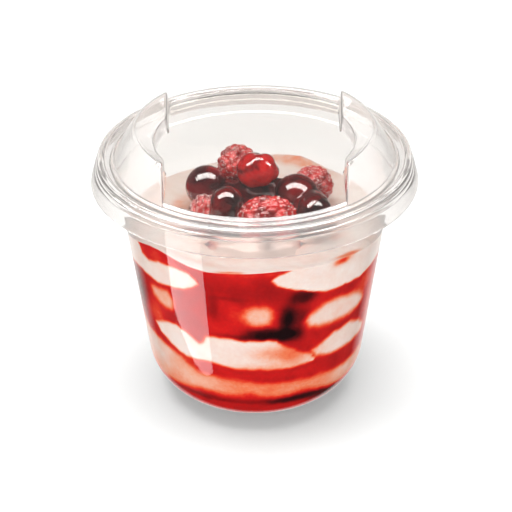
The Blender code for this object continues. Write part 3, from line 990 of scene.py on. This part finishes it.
def noise_field(points, scale, seed):
    """Smooth noise from -1 to 1 at points in millimetres; scale is its wavelength."""
    shift = Vector((seed * 17.3, seed * 5.1, seed * 9.7))
    return np.array([noise.noise(Vector(point) / scale + shift) for point in points])


def soft_spot(azimuth, height, centre, level, half_width, half_height, power=1.0):
    """A spot that fades from 1 at its centre; a higher power gives it a firmer edge."""
    away = (turned(azimuth, centre) / half_width) ** 2 + ((height - level) / half_height) ** 2
    return np.exp(-(away ** power))


def sauce_amount(azimuth, height, points):
    """How much sauce shows on the wall, from 0 for cream to 1 for nearly black."""
    drift = noise_field(points, 14.0, seed=1)
    ripple = noise_field(points, 4.0, seed=2)
    grain = noise_field(points, 1.6, seed=3)
    scale = math.radians(1.0) * WALL_MIDDLE
    azimuth_here = azimuth + 1.1 * drift / scale + 0.5 * ripple / scale
    height_here = height + 0.5 * ripple + 0.22 * grain
    depth = np.full(azimuth.shape, SAUCE_DEPTH) + 0.05 * drift + 0.025 * ripple
    for *spot, change in SAUCE_SHADES.values():
        depth += change * soft_spot(azimuth_here, height_here, *spot, power=1.3)
    depth = np.clip(depth, SAUCE_LEAST, 1.0)
    cloud = np.zeros(azimuth.shape)
    for *spot, change in CREAM_CLOUDS.values():
        cloud += change * soft_spot(azimuth_here, height_here, *spot)
    amount = depth
    for outline, tint, inwards, outwards in CREAM_BODIES.values():
        inside = distance_inside(outline, azimuth_here, height_here, scale)
        cover = 1.0 - smooth_step(-inwards, outwards, -inside)
        cream = np.clip(tint + cloud, 0.0, CREAM_MOST)
        amount = np.minimum(amount, cream + (depth - cream) * (1.0 - cover))
    return amount


def food_radius(height):
    """Radius of the food, a little way into the wall."""
    if height >= WALL_START:
        return wall_radius(height) - FOOD_INSET / math.cos(WALL_TAPER)
    below = CORNER_RADIUS - height
    return BASE_RADIUS + math.sqrt(max((CORNER_RADIUS - FOOD_INSET) ** 2 - below**2, 0.0))


def fill_height(azimuth):
    places, levels = zip(*FILL_LINE)
    return np.interp((azimuth + 180.0) % 360.0 - 180.0, places, levels)


def top_stain(x, y, azimuth, share, points):
    """Sauce on the top of the cream: pink round the mound and a few orange spots."""
    drift = noise_field(points, 9.0, seed=5)
    fine = noise_field(points, 2.5, seed=6)
    amount = 0.025 + 0.02 * drift + 0.015 * fine
    from_mound = np.hypot(x - MOUND_CENTRE[0], y - MOUND_CENTRE[1]) - MOUND_RADIUS
    amount += 0.12 * np.exp(-np.clip(from_mound + 1.5 * drift, 0.0, None) / 2.2)
    for *spot, change in TOP_SPOTS:
        amount += change * soft_spot(azimuth, share, *spot, power=1.5) * (1.0 + 0.25 * fine)
    return np.clip(amount, 0.0, 0.62)


def make_food(material):
    """Rings over the base, up the wall to the fill line, and in over the top."""
    azimuths = np.arange(FOOD_COLUMNS) * 360.0 / FOOD_COLUMNS - 180.0
    turns = np.radians(azimuths)
    fill = fill_height(azimuths)
    rows = []
    for share in np.linspace(0.0, 1.0, BASE_RINGS + 2)[1:-1]:
        rows.append((np.full(FOOD_COLUMNS, BASE_RADIUS * share), np.full(FOOD_COLUMNS, FOOD_INSET)))
    for share in np.arange(WALL_RINGS + 1) / WALL_RINGS:
        height = FOOD_INSET + (fill - FOOD_INSET) * share**1.02
        rows.append((np.array([food_radius(level) for level in height]), height))
    rim = rows[-1][0]
    top_start = len(rows) * FOOD_COLUMNS
    for share in TOP_SHARES:
        settle = smooth_step(0.70, 1.0, share) ** 1.4
        rows.append((rim * share, DISH_LEVEL + (fill - DISH_LEVEL) * settle))
    vertices = np.concatenate([np.stack(around(radius, turns, height), axis=1) for radius, height in rows])
    wall, top = vertices[:top_start], vertices[top_start:]
    swell = noise_field(top, 7.0, seed=8) * 0.45 + noise_field(top, 2.2, seed=9) * 0.15
    share = np.hypot(top[:, 0], top[:, 1]) / np.tile(rim, len(top) // FOOD_COLUMNS)
    top[:, 2] += swell * smooth_step(0.0, 0.04, 1.0 - share)
    azimuth = np.tile(azimuths, len(rows))
    on_wall = sauce_amount(azimuth[:top_start], wall[:, 2], wall)
    on_top = top_stain(top[:, 0], top[:, 1], azimuth[top_start:], share, top)
    faces = ring_faces(len(rows), FOOD_COLUMNS)
    bottom = len(vertices)
    vertices = np.concatenate((vertices, [(0.0, 0.0, FOOD_INSET), (0.0, 0.0, DISH_LEVEL)]))
    last = (len(rows) - 1) * FOOD_COLUMNS
    for step in range(FOOD_COLUMNS):
        after = (step + 1) % FOOD_COLUMNS
        faces.append((bottom, after, step))
        faces.append((bottom + 1, last + step, last + after))
    food = add_object("marbled_food", vertices, faces, material)
    write_values(food, "sauce", np.concatenate((on_wall, on_top, (0.5, 0.3))))
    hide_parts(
        "sauce_bottom", "cream_lower", "sauce_lower", "cream_middle", "sauce_upper", "cream_top",
    )
    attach(food, "root")


# Heap of berries: node, centre and radius, and what makes a raspberry longer at each end along X

RASPBERRIES = {
    "raspberry_back": ((-6.4, 14.8, 81.8), 7.3, 0.2),
    "raspberry_top": ((0.9, 3.3, 85.2), 7.3, 0.9),
    "raspberry_left": ((-17.4, -8.2, 75.4), 5.9, 0.2),
    "raspberry_right": ((21.3, 8.2, 76.6), 7.2, 0.2),
    "raspberry_front": ((4.4, -17.0, 78.2), 7.0, 3.6),
}
CHERRIES = {
    "cherry_left": ((-17.3, 5.6, 77.6), 7.8),
    "cherry_front": ((-9.9, -12.5, 80.2), 5.8),
    "cherry_right": ((15.0, -2.8, 78.6), 7.2),
    "cherry_side": ((21.5, -14.6, 77.8), 6.0),
    "currant_front": ((4.5, -26.2, 77.2), 3.3),
}

# A raspberry's core against where its drupelets sit, and a cherry's skin against its radius

CORE_SHARE = 0.93
CHERRY_SHARE = 0.985


def ball_points(level):
    builder = bmesh.new()
    bmesh.ops.create_icosphere(builder, subdivisions=level, radius=1.0)
    points = np.array([point.co.normalized() for point in builder.verts])
    faces = [tuple(corner.index for corner in face.verts) for face in builder.faces]
    builder.free()
    return points, faces


def drupelet_centres(count, seed):
    """Centres spread evenly over a ball, a little jittered."""
    dice = np.random.default_rng(seed)
    number = np.arange(count) + 0.5
    up = 1.0 - 2.0 * number / count
    turn = math.pi * (1.0 + math.sqrt(5.0)) * number
    flat = np.sqrt(1.0 - up**2)
    centres = np.stack((flat * np.cos(turn), flat * np.sin(turn), up), axis=1)
    centres += dice.normal(0.0, 0.06, centres.shape)
    return centres / np.linalg.norm(centres, axis=1)[:, None]


def frost_and_glint_crystals(points, tips, count, grain, seed):
    """Small octahedra, most of them on the drupelets' tops: points and faces. On the wet front raspberry they
    are painted highlights.
    """
    dice = np.random.default_rng(seed + 80)
    corners = np.concatenate((np.eye(3), -np.eye(3)))
    sides = [(0, 1, 2), (1, 3, 2), (3, 4, 2), (4, 0, 2), (1, 0, 5), (3, 1, 5), (4, 3, 5), (0, 4, 5)]
    chosen = dice.choice(len(points), count, replace=False, p=tips / tips.sum())
    vertices = []
    faces = []
    for place in points[chosen]:
        turn = np.linalg.qr(dice.normal(size=(3, 3)))[0]
        faces += [tuple(corner + len(vertices) for corner in side) for side in sides]
        vertices += list(place + dice.uniform(*grain) * corners @ turn)
    return np.array(vertices), faces


def make_raspberry(
    name, centre, radius, half_length, materials, seed,
    level=5, count=84, bead=0.225, melt=0.0, frost_and_glints=800, grain=(0.14, 0.28),
):
    """A berry of small round drupelets with crystals on them: frost, or painted highlights on the wet front
    berry.

    Its skin is the outer surface of many balls. Their size (bead) and the length over which they run
    together (melt) are shares of the radius.
    """
    directions, faces = ball_points(level)
    centres = drupelet_centres(count, seed)
    dice = np.random.default_rng(seed + 50)
    sizes = bead * dice.uniform(0.9, 1.1, count)
    seat = 1.0 - bead
    facing = directions @ centres.T
    under = sizes[None, :] ** 2 - seat**2 * (1.0 - facing**2)
    reach = np.where((under > 0) & (facing > 0), seat * facing + np.sqrt(np.maximum(under, 0.0)), 0.0)
    core = np.full((1, len(directions)), seat * CORE_SHARE)
    surfaces = np.concatenate((reach.T, core))
    length = surfaces.max(axis=0)
    if melt:
        length = soft_highest(surfaces, melt)
        length *= 1.0 / length.max()
    points = directions * length[:, None]
    points *= 1.0 + 0.025 * noise_field(directions * 10.0, 9.0, seed)[:, None]
    stretch = (radius + half_length) / radius
    points = points * radius * np.array((stretch, 1.0, 1.0)) + np.array(centre)
    tips = np.clip((length - length.min()) / (1.0 - length.min()), 0.0, 1.0)
    skin = len(faces)
    if frost_and_glints:
        crystals, sides = frost_and_glint_crystals(points, tips**2 + 0.02, frost_and_glints, grain, seed)
        faces = faces + [tuple(corner + len(points) for corner in side) for side in sides]
        points = np.concatenate((points, crystals))
        tips = np.concatenate((tips, np.ones(len(crystals))))
    berry = add_object(name + "_fruit", points, faces, materials[0])
    berry.data.materials.append(materials[1])
    for face in berry.data.polygons[skin:]:
        face.material_index = 1
        face.use_smooth = False
    write_values(berry, "tip", tips)
    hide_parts(name)
    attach(berry, "root")


def make_cherry(name, centre, radius, material, seed):
    """A dark round fruit, a little uneven and dented."""
    directions, faces = ball_points(5)
    swell = 1.0 + 0.035 * noise_field(directions * 10.0, 11.0, seed)
    swell += 0.008 * noise_field(directions * 10.0, 4.0, seed)
    points = directions * (swell * radius * CHERRY_SHARE)[:, None] + np.array(centre)
    berry = add_object(name + "_fruit", points, faces, material)
    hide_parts(name)
    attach(berry, "root")


def ball_top(x, y, centre, radii):
    """Height of the upper side of an ellipsoid over a point, very low beside it."""
    inside = 1.0 - ((x - centre[0]) / radii[0]) ** 2 - ((y - centre[1]) / radii[1]) ** 2
    above = centre[2] + radii[2] * np.sqrt(np.maximum(inside, 0.0))
    return np.where(inside > 0, above, centre[2] + FALL_AWAY * inside)


def soft_highest(heights, blend):
    """The highest of several surfaces, run together smoothly over a blend length."""
    stack = np.stack(heights)
    top = stack.max(axis=0)
    return top + blend * np.log(np.exp((stack - top) / blend).sum(axis=0))


# Where sauce lies thick between or over the fruit: centre and half sizes

SAUCE_SWELLS = [
    ((2.0, 2.6, 71.2), (11.5, 6.6, 11.6)),
    ((-7.0, -2.5, 69.0), (8.0, 8.0, 10.6)),
    ((-9.5, 5.0, 70.0), (8.0, 9.0, 10.0)),
    ((19.0, 3.5, 69.5), (7.5, 7.0, 9.0)),
    ((-9.0, -11.5, 69.0), (9.0, 9.0, 13.0)),
    ((19.5, -8.0, 69.0), (9.0, 10.5, 14.6)),
    ((12.0, 4.0, 72.0), (9.0, 7.0, 8.4)),
]

# Sauce over the dark fruit, how softly forms run together, and how fast one falls away beside itself

SAUCE_OVER_FRUIT = 0.3
SAUCE_BLEND = 1.8
FALL_AWAY = 40.0

# The mound's foot and mesh, and the waves of its edge: how many round it, their height and where they start

MOUND_SUNK = 0.4
MOUND_COLUMNS = 340
MOUND_ROWS = 120
EDGE_WAVES = ((3, 1.0, 0.6), (5, 0.6, 2.0), (11, 0.4, 1.0), (17, 0.25, 0.3))

# Where the sauce thins to a film towards the front, and where it lies deep between the fruit

FILM_FRONT = (-25.0, -20.5)
DEEP_CENTRE = (2.0, -3.0)
DEEP_HALF = (10.0, 9.0)


def make_mound(material, deep):
    """Wet sauce: a low dome that runs up between the fruit and over the dark ones."""
    shares = np.linspace(1.0, 0.01, MOUND_ROWS)
    turns = np.arange(MOUND_COLUMNS) * 2 * math.pi / MOUND_COLUMNS
    edge = MOUND_RADIUS + sum(height * np.sin(count * turns + start) for count, height, start in EDGE_WAVES)
    x = MOUND_CENTRE[0] + np.outer(shares, edge * np.cos(turns)).ravel()
    y = MOUND_CENTRE[1] + np.outer(shares, edge * np.sin(turns)).ravel()
    share = np.repeat(shares, MOUND_COLUMNS)
    heights = [DISH_LEVEL + MOUND_EDGE * smooth_step(0.0, 0.05, 1.0 - share) + MOUND_RISE * (1 - share**2)]
    for name in ("cherry_front", "cherry_right", "cherry_side"):
        centre, radius = CHERRIES[name]
        heights.append(ball_top(x, y, centre, (radius + SAUCE_OVER_FRUIT,) * 3))
    heights += [ball_top(x, y, centre, radii) for centre, radii in SAUCE_SWELLS]
    vertices = np.stack((x, y, soft_highest(heights, SAUCE_BLEND)), axis=1)
    vertices[:, 2] += 0.35 * noise_field(vertices, 6.0, seed=21) * smooth_step(0.0, 0.1, 1.0 - share)
    foot = vertices[:MOUND_COLUMNS].copy()
    foot[:, 2] = DISH_LEVEL - MOUND_SUNK
    vertices = np.concatenate((foot, vertices))
    faces = ring_faces(MOUND_ROWS + 1, MOUND_COLUMNS)
    faces.append(tuple(range(MOUND_ROWS * MOUND_COLUMNS, len(vertices))))
    faces.append(tuple(reversed(range(MOUND_COLUMNS))))
    mound = add_object("sauce_dome", vertices, faces, material)
    ragged = vertices[:, 1] + 1.6 * noise_field(vertices, 5.0, seed=23)
    write_values(mound, "film", smooth_step(FILM_FRONT[0], FILM_FRONT[1], ragged))
    mound.data.materials.append(deep)
    for face in mound.data.polygons:
        middle = face.center / MM
        across = (middle.x - DEEP_CENTRE[0]) / DEEP_HALF[0]
        along = (middle.y - DEEP_CENTRE[1]) / DEEP_HALF[1]
        face.material_index = 1 if math.hypot(across, along) < 1.0 else 0
    face_outwards(mound)
    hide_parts("sauce_mound")
    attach(mound, "root")


def make_heap():
    sauce = sauce_material("dark_sauce_wet", srgb(28, 4, 7), srgb(140, 12, 18), 0.05)
    deep = sauce_material("dark_sauce_deep", srgb(34, 4, 7), srgb(130, 11, 15), 0.3, wet=0.12)
    make_mound(sauce, deep)
    frosted = raspberry_material("raspberry_frosted", [
        (0.35, srgb(150, 8, 12)), (0.5, srgb(204, 18, 20)), (0.68, srgb(228, 42, 36)),
    ], 0.16, 0.34)
    wet = raspberry_material("raspberry_wet", [
        (0.35, srgb(140, 6, 10)), (0.5, srgb(212, 10, 14)), (0.68, srgb(236, 30, 26)),
    ], 0.0, 0.26, gloss=0.25, grain=0.00003)
    glazed = raspberry_material("raspberry_glazed", [
        (0.36, srgb(120, 8, 12)), (0.5, srgb(200, 16, 20)), (0.66, srgb(236, 36, 34)),
    ], 0.0, 0.05, gloss=1.0, grain=0.00002)
    finishes = {
        "raspberry_top": (glazed, {"count": 18, "bead": 0.46, "melt": 0.065, "frost_and_glints": 0}),
        # The front raspberry's crystals are painted highlights: pale dots in place of its wet glints
        "raspberry_front": (wet, {
            "level": 6, "count": 120, "bead": 0.19, "frost_and_glints": 240, "grain": (0.2, 0.34),
        }),
    }
    frost_and_glints = frost_and_glint_material()
    for number, (name, (centre, radius, half_length)) in enumerate(RASPBERRIES.items()):
        skin, form = finishes.get(name, (frosted, {}))
        make_raspberry(name, centre, radius, half_length, (skin, frost_and_glints), number + 1, **form)
    cherry = cherry_material()
    for number, (name, (centre, radius)) in enumerate(CHERRIES.items()):
        make_cherry(name, centre, radius, cherry, number + 31)


def main():
    scene = bpy.context.scene
    scene.view_settings.view_transform = "Standard"
    scene.view_settings.look = "None"
    scene.cycles.max_bounces = 24
    scene.cycles.transmission_bounces = 24
    scene.cycles.transparent_max_bounces = 24
    scene.cycles.glossy_bounces = 8
    scene.cycles.diffuse_bounces = 4
    set_camera()
    set_stage()
    set_lights()
    make_cup(clear_plastic("cup_plastic", (0.985, 0.98, 0.975, 1.0), 0.00003))
    make_lid(
        clear_plastic("lid_plastic", (0.92, 0.90, 0.87, 1.0), 0.00003, bend=1.36),
        clear_plastic("lid_plastic_rim", (0.92, 0.89, 0.865, 1.0), 0.00006, clear=0.85, rough=0.045),
    )
    make_food(food_material())
    make_heap()


main()
